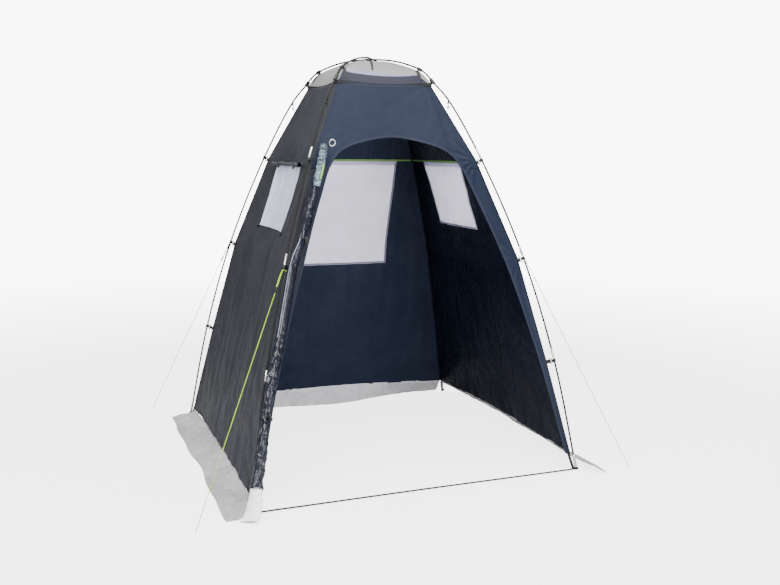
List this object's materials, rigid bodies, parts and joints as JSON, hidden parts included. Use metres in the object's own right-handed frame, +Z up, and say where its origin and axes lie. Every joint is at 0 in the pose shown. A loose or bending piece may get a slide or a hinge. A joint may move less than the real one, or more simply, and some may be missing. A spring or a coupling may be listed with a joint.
{
  "type": "toilet tent",
  "caption": "Narrow upright privacy tent on two crossed outside poles, with an arched door rolled up at its corner, three window panes, ground skirts and guy lines.",
  "frame": {"origin": "middle of the base on the ground", "axes": "+Z up; the door faces -Y; +X to the right of someone who looks at the door"},
  "size_m": [2.1932, 2.0032, 2.0499],
  "materials": {
    "charcoal_fabric": "satin woven polyester",
    "navy_fabric": "satin woven polyester",
    "pale_roof_fabric": "matt translucent fabric",
    "pale_skirt": "matt coated fabric",
    "window_film": "clear flexible film",
    "black_pole": "satin glass fibre rod",
    "bright_metal": "satin",
    "black_plastic": "moulded",
    "black_webbing": "woven webbing",
    "lime_line": "braided line"
  },
  "bodies": {
    "root": {"back_curtain_roll": "charcoal_fabric", "back_skirt": "pale_skirt", "back_wall": "navy_fabric", "back_window_film": "window_film", "clip_back_left_low": "black_plastic", "clip_back_left_middle": "black_plastic", "clip_back_left_top": "black_plastic", "clip_back_right_low": "black_plastic", "clip_back_right_middle": "black_plastic", "clip_back_right_top": "black_plastic", "clip_front_left_low": "black_plastic", "clip_front_left_middle": "black_plastic", "clip_front_left_top": "black_plastic", "clip_front_right_low": "black_plastic", "clip_front_right_middle": "black_plastic", "clip_front_right_top": "black_plastic", "door_roll": "navy_fabric", "door_roll_film": "window_film", "door_roll_hem": "pale_skirt", "door_tie_lower": "black_plastic", "door_tie_upper": "black_plastic", "eave_hook_back_left": "black_plastic", "eave_hook_back_right": "black_plastic", "eave_hook_front_left": "black_plastic", "eave_hook_front_right": "black_plastic", "foot_strap_back_left": "black_webbing", "foot_strap_back_right": "black_webbing", "foot_strap_front_left": "black_webbing", "foot_strap_front_right": "black_webbing", "front_wall": "navy_fabric", "guy_line_back_left": "lime_line", "guy_line_back_right": "lime_line", "guy_line_front_left": "lime_line", "guy_line_front_right": "lime_line", "left_curtain_roll": "charcoal_fabric", "left_skirt": "pale_skirt", "left_wall": "charcoal_fabric", "left_window_film": "window_film", "pole_foot_back_left": "bright_metal", "pole_foot_back_right": "bright_metal", "pole_foot_front_left": "bright_metal", "pole_foot_front_right": "bright_metal", "pole_front_left_to_back_right": "black_pole", "pole_front_right_to_back_left": "black_pole", "right_curtain_roll": "charcoal_fabric", "right_skirt": "pale_skirt", "right_wall": "charcoal_fabric", "right_window_film": "window_film", "roof_cap": "pale_roof_fabric", "roof_hanger": "black_webbing", "shoulder_hook_back_left": "black_plastic", "shoulder_hook_back_right": "black_plastic", "shoulder_hook_front_left": "black_plastic", "shoulder_hook_front_right": "black_plastic", "threshold_strap": "black_webbing"}
  },
  "joints": []
}
